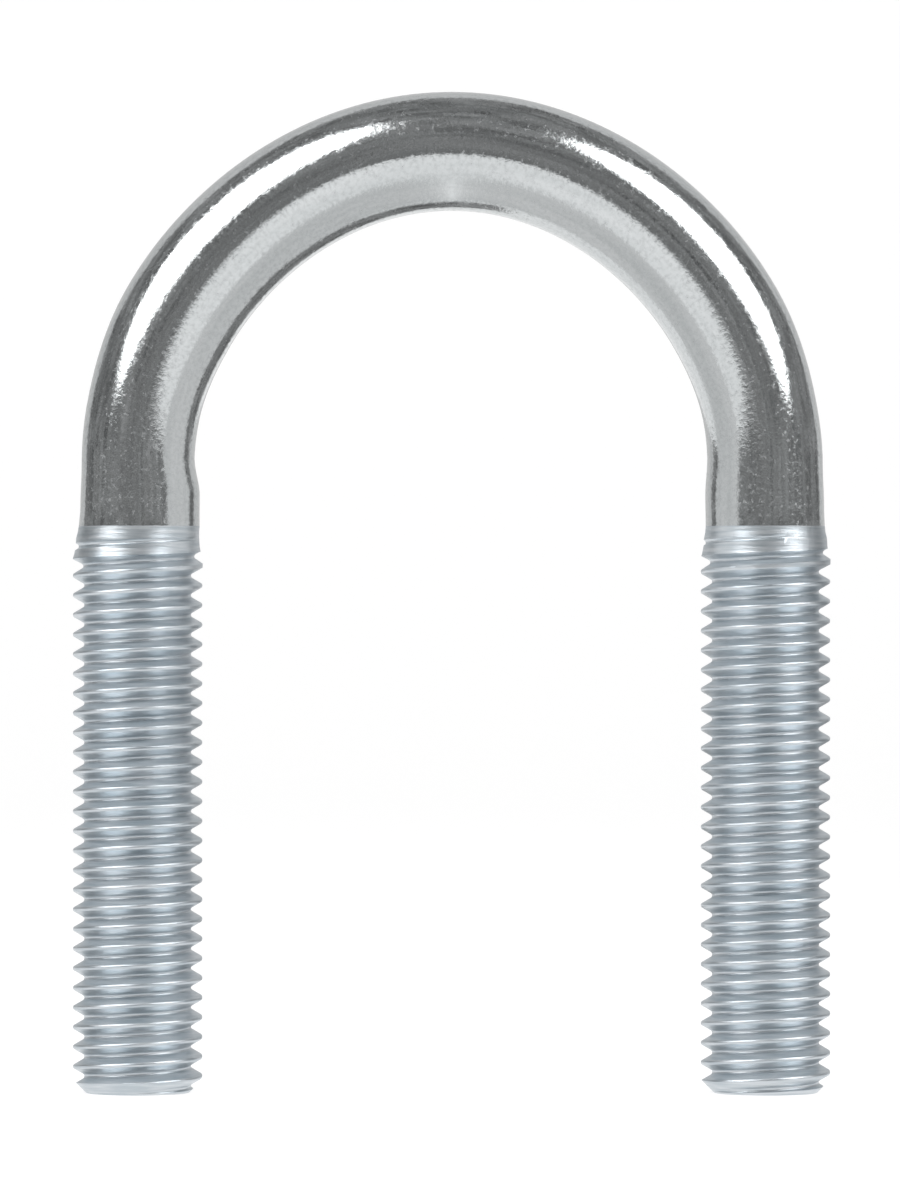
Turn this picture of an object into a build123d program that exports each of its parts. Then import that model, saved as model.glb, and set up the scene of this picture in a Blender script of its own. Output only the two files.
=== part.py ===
from build123d import *
from math import atan, cos, degrees, radians, sin, tan
import os

# A round-bow U-bolt, bent from one steel rod, with a rolled M10 x 1.5 right-hand thread on each leg.
# The origin is the centre of the bend, on the axis of the pipe, rope or shackle that the bow holds.
# +Z points to the crown of the bow, X runs from leg to leg and Y along the held pipe. Sizes are in mm.

# Driving dimensions
LEG_SPACING = 48.0          # between the legs' axes
OVERALL_HEIGHT = 76.5       # from the crown to the ends of the legs
ROD_DIAMETER = 9.1          # the plain rod, drawn to about the thread's pitch diameter for rolling

PITCH = 1.5
CREST_DIAMETER = 9.9        # M10-6g, within 9.73 to 9.97
PITCH_DIAMETER = 9.03
ROOT_DIAMETER = 8.16
FLANK_ANGLE = 30.0          # from the radial direction, each side of the groove

END_CHAMFER = 1.0           # at 45 degrees, where the nut starts
THREAD_TURNS = 27.6         # full-depth turns, the first of them below the leg's end
RUN_OUT_TURNS = 2.2         # the groove climbs out of the rod over these
RUN_OUT_RISE = 0.75         # how far its root climbs
THREAD_START = {"left": 240.0, "right": 165.0}  # how far each leg's thread is turned, in degrees

# Rolling pushes a little metal up above the thread: (height above the leg's end, diameter)
SWELL_START = (40.7, CREST_DIAMETER)
SWELL_MIDDLE = (41.9, 9.4)
SWELL_END = (43.9, ROD_DIAMETER)

BOW_DIP = 0.35              # the bow's centreline runs this far inside a true semicircle at 45 degrees
SQUEEZED_WIDTH = 8.7        # across the rod at the bend's ends, where the bending former pressed it
SQUEEZE_BEGINS = 45.0       # degrees from the crown
SQUEEZE_LENGTH = 1.8        # down the leg from the bend's end until the rod is round again
SECTION_STEP = 9            # degrees from one section of the bow to the next

bend_radius = LEG_SPACING / 2
crest_radius = CREST_DIAMETER / 2
leg_length = OVERALL_HEIGHT - bend_radius - ROD_DIAMETER / 2


def groove_profile():
    """The space between two turns of the thread, in the XZ plane at the root of the helix."""
    flank = tan(radians(FLANK_ANGLE))
    sharp_radius = PITCH_DIAMETER / 2 - PITCH / 4 / flank
    root_radius = ROOT_DIAMETER / 2 - sharp_radius
    tangent_x = ROOT_DIAMETER / 2 + root_radius * (1 - sin(radians(FLANK_ANGLE)))
    tangent_z = root_radius * cos(radians(FLANK_ANGLE))
    outside_x = crest_radius + 0.15
    outside_z = (outside_x - sharp_radius) * flank
    root = ThreePointArc((tangent_x, 0, -tangent_z), (ROOT_DIAMETER / 2, 0, 0), (tangent_x, 0, tangent_z))
    rest = Polyline(
        (tangent_x, 0, tangent_z),
        (outside_x, 0, outside_z),
        (outside_x, 0, -outside_z),
        (tangent_x, 0, -tangent_z),
    )
    return make_face(root + rest)


def thread_groove():
    """The full-depth groove, and the run-out where it climbs out of the rod."""
    full_height = THREAD_TURNS * PITCH
    full = sweep(
        groove_profile(),
        path=Helix(pitch=PITCH, height=full_height, radius=PITCH_DIAMETER / 2),
        is_frenet=True,
    )
    run_out_height = RUN_OUT_TURNS * PITCH
    rise_angle = atan(RUN_OUT_RISE / run_out_height)
    run_out = sweep(
        groove_profile(),
        path=Helix(
            pitch=PITCH / cos(rise_angle),
            height=run_out_height,
            radius=PITCH_DIAMETER / 2,
            cone_angle=degrees(rise_angle),
        ),
        is_frenet=True,
    )
    return full, Pos(0, 0, full_height) * run_out


def leg(start_angle):
    """One threaded leg, standing on its chamfered end at Z = 0."""
    top = leg_length - SQUEEZE_LENGTH
    outline = Polyline(
        (0, 0, 0),
        (crest_radius - END_CHAMFER, 0, 0),
        (crest_radius, 0, END_CHAMFER),
        (SWELL_START[1] / 2, 0, SWELL_START[0]),
        (SWELL_MIDDLE[1] / 2, 0, SWELL_MIDDLE[0]),
        (SWELL_END[1] / 2, 0, SWELL_END[0]),
        (ROD_DIAMETER / 2, 0, top),
        (0, 0, top),
        close=True,
    )
    blank = revolve(make_face(outline), axis=Axis.Z)
    full, run_out = thread_groove()
    threaded = blank - Pos(0, 0, -PITCH) * full - Pos(0, 0, -PITCH) * run_out
    return Rot(0, 0, start_angle) * threaded


def bow_section(angle, radius, width):
    """The rod's section at an angle from the crown, where the former may have pressed it narrower."""
    centre = (radius * sin(radians(angle)), 0, radius * cos(radians(angle)))
    along = (cos(radians(angle)), 0, -sin(radians(angle)))
    outward = (sin(radians(angle)), 0, cos(radians(angle)))
    plane = Plane(origin=centre, x_dir=outward, z_dir=along)
    return plane * Ellipse(width / 2, ROD_DIAMETER / 2)


def bow():
    """The bent part of the rod, down to where it is round again on both legs."""
    sections = []
    for angle in range(-90, 91, SECTION_STEP):
        radius = bend_radius - BOW_DIP * sin(radians(2 * angle)) ** 2
        squeeze = max(0, (abs(angle) - SQUEEZE_BEGINS) / (90 - SQUEEZE_BEGINS))
        width = ROD_DIAMETER + (SQUEEZED_WIDTH - ROD_DIAMETER) * squeeze
        sections.append(bow_section(angle, radius, width))
    left_end = Pos(0, 0, -SQUEEZE_LENGTH) * bow_section(-90, bend_radius, ROD_DIAMETER)
    right_end = Pos(0, 0, -SQUEEZE_LENGTH) * bow_section(90, bend_radius, ROD_DIAMETER)
    return loft([left_end, *sections, right_end])


def u_bolt():
    """The whole rod: the bow between its two threaded legs."""
    left = Pos(-bend_radius, 0, -leg_length) * leg(THREAD_START["left"])
    right = Pos(bend_radius, 0, -leg_length) * leg(THREAD_START["right"])
    return bow() + left + right


os.makedirs("parts", exist_ok=True)
bolt = u_bolt()
export_step(bolt, "parts/u_bolt.step")
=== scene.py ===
from math import atan2, cos, hypot, pi, radians, sin, tan

import bpy
from mathutils import Matrix, Vector


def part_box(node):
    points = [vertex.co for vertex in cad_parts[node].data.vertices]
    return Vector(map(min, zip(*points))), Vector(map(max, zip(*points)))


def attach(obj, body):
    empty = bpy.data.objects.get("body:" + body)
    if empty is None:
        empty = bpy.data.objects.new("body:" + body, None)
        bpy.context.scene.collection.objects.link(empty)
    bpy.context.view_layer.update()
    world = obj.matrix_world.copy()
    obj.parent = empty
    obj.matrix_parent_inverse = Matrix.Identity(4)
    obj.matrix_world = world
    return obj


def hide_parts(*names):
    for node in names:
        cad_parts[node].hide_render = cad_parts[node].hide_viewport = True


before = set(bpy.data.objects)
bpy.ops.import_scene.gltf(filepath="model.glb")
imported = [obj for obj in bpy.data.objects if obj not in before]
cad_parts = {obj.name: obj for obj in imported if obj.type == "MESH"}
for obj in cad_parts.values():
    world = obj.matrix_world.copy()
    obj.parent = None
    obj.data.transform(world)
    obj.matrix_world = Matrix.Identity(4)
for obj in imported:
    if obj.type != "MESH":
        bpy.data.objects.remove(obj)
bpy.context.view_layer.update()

# A round-bow U-bolt: one zinc-plated steel rod, bent round a former, with a rolled M10 x 1.5 thread
# on each leg. The origin is the centre of the bend, X runs from leg to leg and Z up to the crown.

MM = 0.001

# The rod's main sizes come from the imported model's box
low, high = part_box("u_bolt")
CREST_RADIUS = (high.y - low.y) / 2
LEG_X = high.x - CREST_RADIUS           # also the bend's radius, to the middle of the rod
ROD_RADIUS = high.z - LEG_X
LEG_END = low.z

PITCH = 1.5 * MM
PITCH_RADIUS = 4.515 * MM
ROOT_RADIUS = 4.08 * MM
FLANK = radians(30)
CREST_ROUNDING = 0.19 * MM              # rolling leaves the crests a little round
END_CHAMFER = 1.0 * MM
THREAD_START = {"left": 240, "right": 165}  # how far each leg's thread is turned, in degrees

# The thread, measured up from the leg's end
THREAD_TURNS = 34                       # of the long thread that both legs are cut from
TURNS_BELOW = 2                         # of them, below the leg's end
FULL_DEPTH = 39.9 * MM                  # the groove starts to climb out of the rod here
RUN_OUT = 3.3 * MM                      # it climbs by the rise over this length
RUN_OUT_RISE = 0.75 * MM
SPARE_END = 0.41 * MM                   # the long thread is sawn off this far below the leg's end
SPARE_TOP = 44.83 * MM                  # and up here, past the top of the leg piece
SHOULDER = 43.3 * MM                    # where the plain rod's finish takes over from the thread's

# Rolling pushes a little metal up above the thread: (height, radius) in mm
SWELL = ((40.75, 4.975), (41.15, 4.86), (41.75, 4.74), (42.35, 4.71), (42.85, 4.60), (43.3, 4.56))

# Bending
DIP = 0.35 * MM                         # the bow's centreline runs inside a true semicircle at 45 degrees

# How far the bending former moved the rod's inner and outer side outwards, in mm, against the distance
# along the rod past the bend's end
PRESSED = {
    ("left", "inner"): ((-12, 0), (-4, 0.18), (-0.6, 0.20), (2.3, -0.20), (4.6, -0.18), (5.6, -0.02)),
    ("left", "outer"): ((-12, 0), (-4, -0.24), (0, -0.26), (3.2, -0.16), (5.6, 0)),
    ("right", "inner"): ((-12, 0), (-4, 0.12), (-0.6, 0.10), (2.3, -0.06), (5.6, 0)),
    ("right", "outer"): ((-12, 0), (-4, -0.20), (0, -0.16), (3.2, -0.06), (5.6, 0)),
}

SEGMENTS = 72                           # round the rod
BOW_STEPS = 120
LEG_STEPS = 12                          # rings from the bend's end down to the leg piece
STEP = 0.3 * MM
LEG_TOP = -LEG_STEPS * STEP             # height at which a leg piece meets the bow
SMOOTH_BELOW = radians(32)              # edges sharper than this stay sharp
SAME_PLACE = MM / 1000
LEVEL = MM / 100
WELD = MM / 200                         # the leg pieces meet the bow within this

# Stage, in metres
FLOOR_GLOW = 1.05
CARD_GLOW = 0.68
BETWEEN_GLOW = 0.75
SURROUND_COLOUR = "#959595"
SURROUND_GLOW = 0.75
WEDGE_FRONT = 0.034                     # how far behind the object the dark wedge in the floor begins
WEDGE_LEFT = -0.012
STAGE_BACK = 0.5
LENS = 241.7
CAMERA_PLACE = (-0.00012, -0.616, -0.0103)


# Modelling helpers

def only(*pieces):
    bpy.ops.object.select_all(action="DESELECT")
    for piece in pieces:
        piece.select_set(True)
    bpy.context.view_layer.objects.active = pieces[0]


def drawn_line(name, points):
    """A line through (radius, height) points, drawn in the XZ plane by extruding one corner."""
    bpy.ops.object.select_all(action="DESELECT")
    bpy.ops.mesh.primitive_plane_add(size=MM)
    line = bpy.context.object
    line.name = name
    bpy.ops.object.mode_set(mode="EDIT")
    bpy.ops.mesh.merge(type="CENTER")
    bpy.ops.transform.translate(value=(points[0][0], 0, points[0][1]))
    for here, there in zip(points, points[1:]):
        step = (there[0] - here[0], 0, there[1] - here[1])
        bpy.ops.mesh.extrude_region_move(TRANSFORM_OT_translate={"value": step})
    bpy.ops.object.mode_set(mode="OBJECT")
    return line


def turned(line, turns=1, rise=0):
    """The line swept round Z, and upwards as it goes where there is a rise."""
    only(line)
    screw = line.modifiers.new("turned", "SCREW")
    screw.axis = "Z"
    screw.iterations = turns
    screw.screw_offset = rise
    screw.steps = screw.render_steps = SEGMENTS
    screw.use_merge_vertices = True
    screw.merge_threshold = SAME_PLACE
    bpy.ops.object.modifier_apply(modifier=screw.name)
    face_outwards(line)
    return line


def face_outwards(piece):
    only(piece)
    bpy.ops.object.mode_set(mode="EDIT")
    bpy.ops.mesh.select_all(action="SELECT")
    bpy.ops.mesh.remove_doubles(threshold=SAME_PLACE)
    bpy.ops.mesh.normals_make_consistent(inside=False)
    bpy.ops.object.mode_set(mode="OBJECT")


def sawn(piece, height, keep_above):
    """Cuts a tube flat across and closes it with one face."""
    only(piece)
    bpy.ops.object.mode_set(mode="EDIT")
    bpy.ops.mesh.select_mode(type="VERT")
    bpy.ops.mesh.select_all(action="SELECT")
    bpy.ops.mesh.bisect(
        plane_co=(0, 0, height), plane_no=(0, 0, 1), threshold=MM / 10000,
        clear_inner=keep_above, clear_outer=not keep_above,
    )
    bpy.ops.mesh.select_all(action="DESELECT")
    bpy.ops.object.mode_set(mode="OBJECT")
    for corner in piece.data.vertices:
        corner.select = abs(corner.co.z - height) < SAME_PLACE
    bpy.ops.object.mode_set(mode="EDIT")
    bpy.ops.mesh.edge_face_add()
    bpy.ops.object.mode_set(mode="OBJECT")


def combined(piece, other, how):
    only(piece)
    cut = piece.modifiers.new(how, "BOOLEAN")
    cut.operation = how
    cut.object = other
    cut.solver = "EXACT"
    bpy.ops.object.modifier_apply(modifier=cut.name)
    bpy.data.objects.remove(other)


# The threaded legs

def thread_profile():
    """One pitch of the thread's section, from one crest up to the next, round the root at height 0."""
    sharp_radius = PITCH_RADIUS - PITCH / 4 / tan(FLANK)
    root_rounding = ROOT_RADIUS - sharp_radius
    lean = pi / 2 - FLANK
    root = []
    for turn in (-1, -0.66, -0.33, 0, 0.33, 0.66, 1):
        angle = lean * turn
        root.append((ROOT_RADIUS + root_rounding * (1 - cos(angle)), root_rounding * sin(angle)))
    centre_radius = CREST_RADIUS - CREST_ROUNDING
    centre_height = (centre_radius - sharp_radius) * tan(FLANK) + CREST_ROUNDING / cos(FLANK)
    crest = []
    for turn in (1, 0.66, 0.33, 0):
        angle = lean * turn
        radius = centre_radius + CREST_ROUNDING * cos(angle)
        crest.append((radius, centre_height - CREST_ROUNDING * sin(angle)))
    below = [(radius, -height) for radius, height in reversed(crest)]
    next_crest = (CREST_RADIUS, PITCH - centre_height)
    return [*below, *root, *crest, next_crest]


def rolled_thread():
    """The full thread, longer than the leg at both ends. At the top its groove climbs out of the rod."""
    start = LEG_END - TURNS_BELOW * PITCH
    line = drawn_line("thread", [(radius, start + height) for radius, height in thread_profile()])
    thread = turned(line, turns=THREAD_TURNS, rise=PITCH)
    for corner in thread.data.vertices:
        climbed = (corner.co.z - LEG_END - FULL_DEPTH) / RUN_OUT
        if climbed > 0:
            radius = hypot(corner.co.x, corner.co.y)
            shift = 1 + RUN_OUT_RISE * climbed / radius
            corner.co.x *= shift
            corner.co.y *= shift
    sawn(thread, LEG_END - SPARE_END, keep_above=True)
    sawn(thread, LEG_END + SPARE_TOP, keep_above=False)
    face_outwards(thread)
    return thread


def leg_envelope():
    """The blank that bounds the thread: the chamfered end, the crests, the swell and the plain rod."""
    clear = 0.025 * MM                  # so that the crests keep their own rounding
    outline = [(0, 0), (CREST_RADIUS - END_CHAMFER, 0), (CREST_RADIUS + clear, END_CHAMFER + clear)]
    outline += [(radius * MM, height * MM) for height, radius in SWELL]
    outline = [(radius, LEG_END + height) for radius, height in outline]
    outline += [(ROD_RADIUS, LEG_TOP), (0, LEG_TOP)]
    return turned(drawn_line("envelope", outline))


def leg():
    piece = rolled_thread()
    combined(piece, leg_envelope(), "INTERSECT")
    return piece


def placed_leg(model, side):
    piece = model.copy()
    piece.data = model.data.copy()
    bpy.context.scene.collection.objects.link(piece)
    piece.name = "leg_" + side
    x = LEG_X if side == "right" else -LEG_X
    turn = Matrix.Rotation(radians(THREAD_START[side]), 4, "Z")
    piece.data.transform(Matrix.Translation((x, 0, 0)) @ turn)
    return piece


# The bow

def rod_ring_at(height):
    """Selects the edges of the ring that lies level at a height."""
    mesh = bpy.context.object.data
    bpy.ops.object.mode_set(mode="OBJECT")
    for edge in mesh.edges:
        edge.select = all(abs(mesh.vertices[corner].co.z - height) < LEVEL for corner in edge.vertices)
    bpy.ops.object.mode_set(mode="EDIT")
    bpy.ops.mesh.select_mode(type="EDGE")


def bent_rod():
    """A ring spun half round the bend's centre, then both its ends drawn straight down."""
    bpy.ops.object.select_all(action="DESELECT")
    bpy.ops.mesh.primitive_circle_add(vertices=SEGMENTS, radius=ROD_RADIUS, location=(-LEG_X, 0, 0))
    bow = bpy.context.object
    bow.name = "bow"
    bpy.ops.object.transform_apply(location=True)
    bpy.ops.object.mode_set(mode="EDIT")
    bpy.ops.mesh.select_all(action="SELECT")
    bpy.ops.mesh.spin(steps=BOW_STEPS, angle=-pi, center=(0, 0, 0), axis=(0, 1, 0))
    bpy.ops.mesh.select_all(action="DESELECT")
    rod_ring_at(0)
    for _ in range(LEG_STEPS):
        bpy.ops.mesh.extrude_edges_move(TRANSFORM_OT_translate={"value": (0, 0, -STEP)})
    bpy.ops.object.mode_set(mode="OBJECT")
    return bow


def pressed(side, face, past):
    """The shift of one side of the rod, eased from each of its known points to the next."""
    points = [(place * MM, shift * MM) for place, shift in PRESSED[side, face]]
    for (start, before), (end, after) in zip(points, points[1:]):
        if start <= past < end:
            share = (past - start) / (end - start)
            return before + (after - before) * share * share * (3 - 2 * share)
    return 0


def shape_bow(piece):
    """Gives the bend its dip and its ends the marks of the former.

    Each corner's place on the rod before it was bent is kept, for the finish to follow."""
    straight = piece.data.attributes.new("straight_rod", "FLOAT_VECTOR", "POINT")
    for corner in piece.data.vertices:
        x, y, z = corner.co
        side = "left" if x < 0 else "right"
        angle = atan2(abs(x), z) if z > 0 else pi / 2
        outward = (hypot(x, z) if z > 0 else abs(x)) - LEG_X
        past = -z if z < 0 else (angle - pi / 2) * LEG_X
        length_from_crown = (past + LEG_X * pi / 2) * (-1 if x < 0 else 1)
        face = "inner" if outward < 0 else "outer"
        outward += pressed(side, face, past) * min(1, abs(outward) / ROD_RADIUS)
        straight.data[corner.index].vector = (outward, y, length_from_crown)
        radius = LEG_X - DIP * sin(2 * angle) ** 2 + outward
        corner.co.x = radius * sin(angle) * (-1 if x < 0 else 1)
        if z > 0:
            corner.co.z = radius * cos(angle)


def u_bolt_rod():
    """The whole rod as one closed skin."""
    model = leg()
    legs = [placed_leg(model, side) for side in ("left", "right")]
    bpy.data.objects.remove(model)
    piece = bent_rod()
    for part in legs:
        only(part)
        bpy.ops.object.mode_set(mode="EDIT")
        bpy.ops.mesh.select_all(action="DESELECT")
        bpy.ops.mesh.select_mode(type="FACE")
        bpy.ops.object.mode_set(mode="OBJECT")
        for face in part.data.polygons:
            face.select = face.normal.z > 0.9 and abs(face.center.z - LEG_TOP) < LEVEL
        bpy.ops.object.mode_set(mode="EDIT")
        bpy.ops.mesh.delete(type="FACE")
        bpy.ops.mesh.select_all(action="DESELECT")
        bpy.ops.object.mode_set(mode="OBJECT")
    only(piece, *legs)
    bpy.ops.object.join()
    piece.name = piece.data.name = "u_bolt_rod"
    bpy.ops.object.mode_set(mode="EDIT")
    bpy.ops.mesh.select_mode(type="VERT")
    bpy.ops.mesh.select_all(action="SELECT")
    bpy.ops.mesh.remove_doubles(threshold=WELD)
    bpy.ops.mesh.normals_make_consistent(inside=False)
    bpy.ops.object.mode_set(mode="OBJECT")
    shape_bow(piece)
    only(piece)
    bpy.ops.object.shade_smooth_by_angle(angle=SMOOTH_BELOW)
    return piece


# Materials

def srgb(code):
    """A colour as the shader wants it, from its sRGB hex code."""
    parts = [int(code[i:i + 2], 16) / 255 for i in (1, 3, 5)]
    linear = [part / 12.92 if part <= 0.04045 else ((part + 0.055) / 1.055) ** 2.4 for part in parts]
    return (*linear, 1)


def add(material, kind, inputs=None, **settings):
    """Adds one node. Inputs are set to a value, or linked where they are given another node's output.

    A mix node's colours are its inputs 6 and 7 and its output 2."""
    node = material.node_tree.nodes.new(kind)
    for name, value in settings.items():
        setattr(node, name, value)
    for name, value in (inputs or {}).items():
        if isinstance(value, bpy.types.NodeSocket):
            material.node_tree.links.new(value, node.inputs[name])
        else:
            node.inputs[name].default_value = value
    return node


def new_material(name):
    material = bpy.data.materials.new(name)
    material.use_nodes = True
    return material, material.node_tree.nodes["Principled BSDF"]


def linked(material, source, socket):
    material.node_tree.links.new(source, socket)


def drawn_zinc():
    """Zinc plate on the drawn rod: bright and glossy, over the fine pits and drawing lines of the steel."""
    material, shader = new_material("zinc_plate_on_drawn_steel")
    shader.inputs["Metallic"].default_value = 1
    place = add(material, "ShaderNodeAttribute", attribute_name="straight_rod").outputs["Vector"]

    # Pits about 0.3 mm across, left by pickling the steel
    grain = {"Vector": place, "Scale": 2900, "Detail": 3, "Roughness": 0.6}
    pits = add(material, "ShaderNodeTexNoise", grain).outputs["Fac"]
    deep = {"Value": pits, "From Min": 0.40, "From Max": 0.64}
    pitted = add(material, "ShaderNodeMapRange", deep)

    # Lines from the drawing die, about 0.9 mm wide and 20 mm long
    along = add(material, "ShaderNodeMapping", {"Vector": place, "Scale": (1, 1, 0.04)})
    streaks = {"Vector": along.outputs["Vector"], "Scale": 1100, "Detail": 3}
    lines = add(material, "ShaderNodeTexNoise", streaks).outputs["Fac"]
    lined = add(material, "ShaderNodeMapRange", {"Value": lines, "From Min": 0.35, "From Max": 0.65})

    # The plate is greyer in the pits and along some of the lines
    greys = {"Factor": pitted.outputs["Result"], 6: srgb("#D3D6D7"), 7: srgb("#CACDCE")}
    colour = add(material, "ShaderNodeMix", greys, data_type="RGBA")
    shades = {"Factor": lined.outputs["Result"], 6: colour.outputs[2], 7: srgb("#F2F3F3")}
    colour = add(material, "ShaderNodeMix", shades, data_type="RGBA", blend_type="MULTIPLY")
    linked(material, colour.outputs[2], shader.inputs["Base Color"])

    # and duller in the deepest pits
    dull = {"Value": pits, "From Min": 0.50, "From Max": 0.70, "To Min": 0.10, "To Max": 0.30}
    gloss = add(material, "ShaderNodeMapRange", dull)
    linked(material, gloss.outputs["Result"], shader.inputs["Roughness"])

    relief = add(material, "ShaderNodeBump", {"Height": lines, "Distance": 0.008 * MM})
    dents = {"Height": pits, "Distance": 0.013 * MM, "Normal": relief.outputs["Normal"]}
    relief = add(material, "ShaderNodeBump", dents)
    linked(material, relief.outputs["Normal"], shader.inputs["Normal"])
    return material


def rolled_zinc():
    """Zinc plate on the rolled thread: bluer, more satin, and burnished in lines that run round the leg."""
    material, shader = new_material("zinc_plate_on_rolled_thread")
    shader.inputs["Metallic"].default_value = 1
    place = add(material, "ShaderNodeTexCoord").outputs["Object"]

    # Lines about 0.2 mm apart and 3 mm long
    around = add(material, "ShaderNodeMapping", {"Vector": place, "Scale": (1, 1, 14)})
    streaks = {"Vector": around.outputs["Vector"], "Scale": 330, "Detail": 4}
    lines = add(material, "ShaderNodeTexNoise", streaks).outputs["Fac"]
    burnished = add(material, "ShaderNodeMapRange", {"Value": lines, "From Min": 0.35, "From Max": 0.65})
    blues = {"Factor": burnished.outputs["Result"], 6: srgb("#BAC3C9"), 7: srgb("#D4D9DD")}
    colour = add(material, "ShaderNodeMix", blues, data_type="RGBA")
    linked(material, colour.outputs[2], shader.inputs["Base Color"])
    gloss = add(material, "ShaderNodeMapRange", {"Value": lines, "To Min": 0.32, "To Max": 0.46})
    linked(material, gloss.outputs["Result"], shader.inputs["Roughness"])
    relief = add(material, "ShaderNodeBump", {"Height": lines, "Distance": 0.03 * MM})
    linked(material, relief.outputs["Normal"], shader.inputs["Normal"])
    return material


def plate(piece):
    """The drawn rod has one finish and the rolled thread, up to the shoulder, the other."""
    piece.data.materials.clear()
    piece.data.materials.append(drawn_zinc())
    piece.data.materials.append(rolled_zinc())
    for face in piece.data.polygons:
        face.material_index = 1 if face.center.z < LEG_END + SHOULDER else 0


# Stage

def white_paper(name, colour, glow):
    material, shader = new_material(name)
    shader.inputs["Base Color"].default_value = srgb(colour)
    shader.inputs["Roughness"].default_value = 0.9
    shader.inputs["Specular IOR Level"].default_value = 0
    shader.inputs["Emission Color"].default_value = (1, 1, 1, 1)
    shader.inputs["Emission Strength"].default_value = glow
    return material


def surround():
    """White paper under and all round the object, which the metal doesn't mirror."""
    radius, corner, height = 1.4, 0.5, 1.6
    bend = [radians(a) for a in range(0, 91, 10)]
    outline = [(0, LEG_END)]
    outline += [(radius - corner + corner * sin(a), LEG_END + corner - corner * cos(a)) for a in bend]
    outline += [(radius, LEG_END + height)]
    sheet = turned(drawn_line("surround", outline))
    bpy.ops.object.shade_smooth()
    sheet.data.materials.append(white_paper("white_paper", SURROUND_COLOUR, SURROUND_GLOW))
    sheet.visible_glossy = False
    return sheet


def reflector(name, low_corner, high_corner, glow):
    """A flat white card that only the metal mirrors, from one corner to the other."""
    size = Vector(high_corner) - Vector(low_corner)
    middle = (Vector(high_corner) + Vector(low_corner)) / 2
    turn = (0, 0, 0)
    if size.y == 0:
        turn = (radians(90), 0, 0)
    if size.x == 0:
        turn = (0, radians(90), 0)
    bpy.ops.object.select_all(action="DESELECT")
    bpy.ops.mesh.primitive_plane_add(size=1, location=middle, rotation=turn)
    card = bpy.context.object
    card.name = name
    bpy.ops.object.transform_apply(location=False, rotation=True, scale=False)
    card.scale = [length or 1 for length in size]
    bpy.ops.object.transform_apply(location=True, rotation=True, scale=True)
    card.data.materials.append(white_paper(name, "#000000", glow))
    card.visible_camera = card.visible_diffuse = card.visible_shadow = False
    return card


def trimmed(card, edge, keep):
    """Cuts a card along a line, and keeps the part on one side of it."""
    only(card)
    bpy.ops.object.mode_set(mode="EDIT")
    bpy.ops.mesh.select_all(action="SELECT")
    bpy.ops.mesh.bisect(plane_co=edge, plane_no=keep, clear_inner=True)
    bpy.ops.object.mode_set(mode="OBJECT")
    return card


def paper_stage():
    """The surround, and the white cards that the metal mirrors instead of it.

    The floor cards leave a wedge open behind the object, which darkens the rod's inner edge. A small
    card between the legs lightens their inner sides."""
    floor = LEG_END
    back_corner = (WEDGE_LEFT, WEDGE_FRONT, floor)
    floor_back = reflector("floor_back", back_corner, (0.6, STAGE_BACK, floor), FLOOR_GLOW)
    cards = [
        reflector("floor_front", (-1.2, -0.5, floor), (1.2, WEDGE_FRONT, floor), FLOOR_GLOW),
        reflector("floor_left", (-1.2, WEDGE_FRONT, floor), (WEDGE_LEFT, STAGE_BACK, floor), FLOOR_GLOW),
        trimmed(floor_back, (0, 0.085, floor), (-1.05, 1, 0)),
        reflector("card_behind", (-0.6, STAGE_BACK, floor), (0.6, STAGE_BACK, 0.75), CARD_GLOW),
        reflector("card_between", (0, -0.018, -0.012), (0, 0.006, 0.011), BETWEEN_GLOW),
    ]
    return [surround(), *cards]


def softbox(name, direction, distance, length, width, power, along):
    """An oval soft light that faces the origin, with its length along the given direction."""
    lamp = bpy.data.lights.new(name, "AREA")
    lamp.shape = "ELLIPSE"
    lamp.size = length
    lamp.size_y = width
    lamp.energy = power
    holder = bpy.data.objects.new(name, lamp)
    back = Vector(direction).normalized()
    side = Vector(along)
    side = (side - side.dot(back) * back).normalized()
    turn = Matrix((side, back.cross(side), back)).transposed().to_4x4()
    holder.matrix_world = Matrix.Translation(back * distance) @ turn
    bpy.context.scene.collection.objects.link(holder)
    return holder


def room():
    """The dim room that the metal mirrors between the lights, with lighter and darker things in it."""
    world = bpy.data.worlds.new("studio")
    world.use_nodes = True
    around = add(world, "ShaderNodeTexCoord").outputs["Generated"]
    shapes = {"Vector": around, "Scale": 14, "Detail": 2, "Roughness": 0.6}
    things = add(world, "ShaderNodeTexNoise", shapes).outputs["Fac"]
    levels = {"Value": things, "From Min": 0.32, "From Max": 0.68, "To Min": 0.03, "To Max": 0.46}
    level = add(world, "ShaderNodeMapRange", levels)
    linked(world, level.outputs["Result"], world.node_tree.nodes["Background"].inputs["Color"])
    bpy.context.scene.world = world


def light_stage():
    room()
    softbox(
        "softbox_left", direction=(-0.617, -0.454, 0.643), distance=0.6,
        length=0.62, width=0.50, power=2.6, along=(1, 0, 1),
    )
    softbox(
        "softbox_right", direction=(0.681, -0.431, 0.592), distance=0.6,
        length=0.55, width=0.47, power=2.2, along=(-1, 0, 1),
    )


def front_camera():
    lens = bpy.data.cameras.new("camera")
    lens.lens = LENS
    lens.sensor_width = 36
    lens.clip_start = 0.01
    camera = bpy.data.objects.new("camera", lens)
    camera.location = CAMERA_PLACE
    camera.rotation_euler = (radians(90), 0, 0)
    bpy.context.scene.collection.objects.link(camera)
    bpy.context.scene.camera = camera


rod = u_bolt_rod()
plate(rod)
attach(rod, "root")
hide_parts("u_bolt")

paper_stage()
light_stage()
front_camera()
bpy.context.scene.view_settings.view_transform = "Standard"
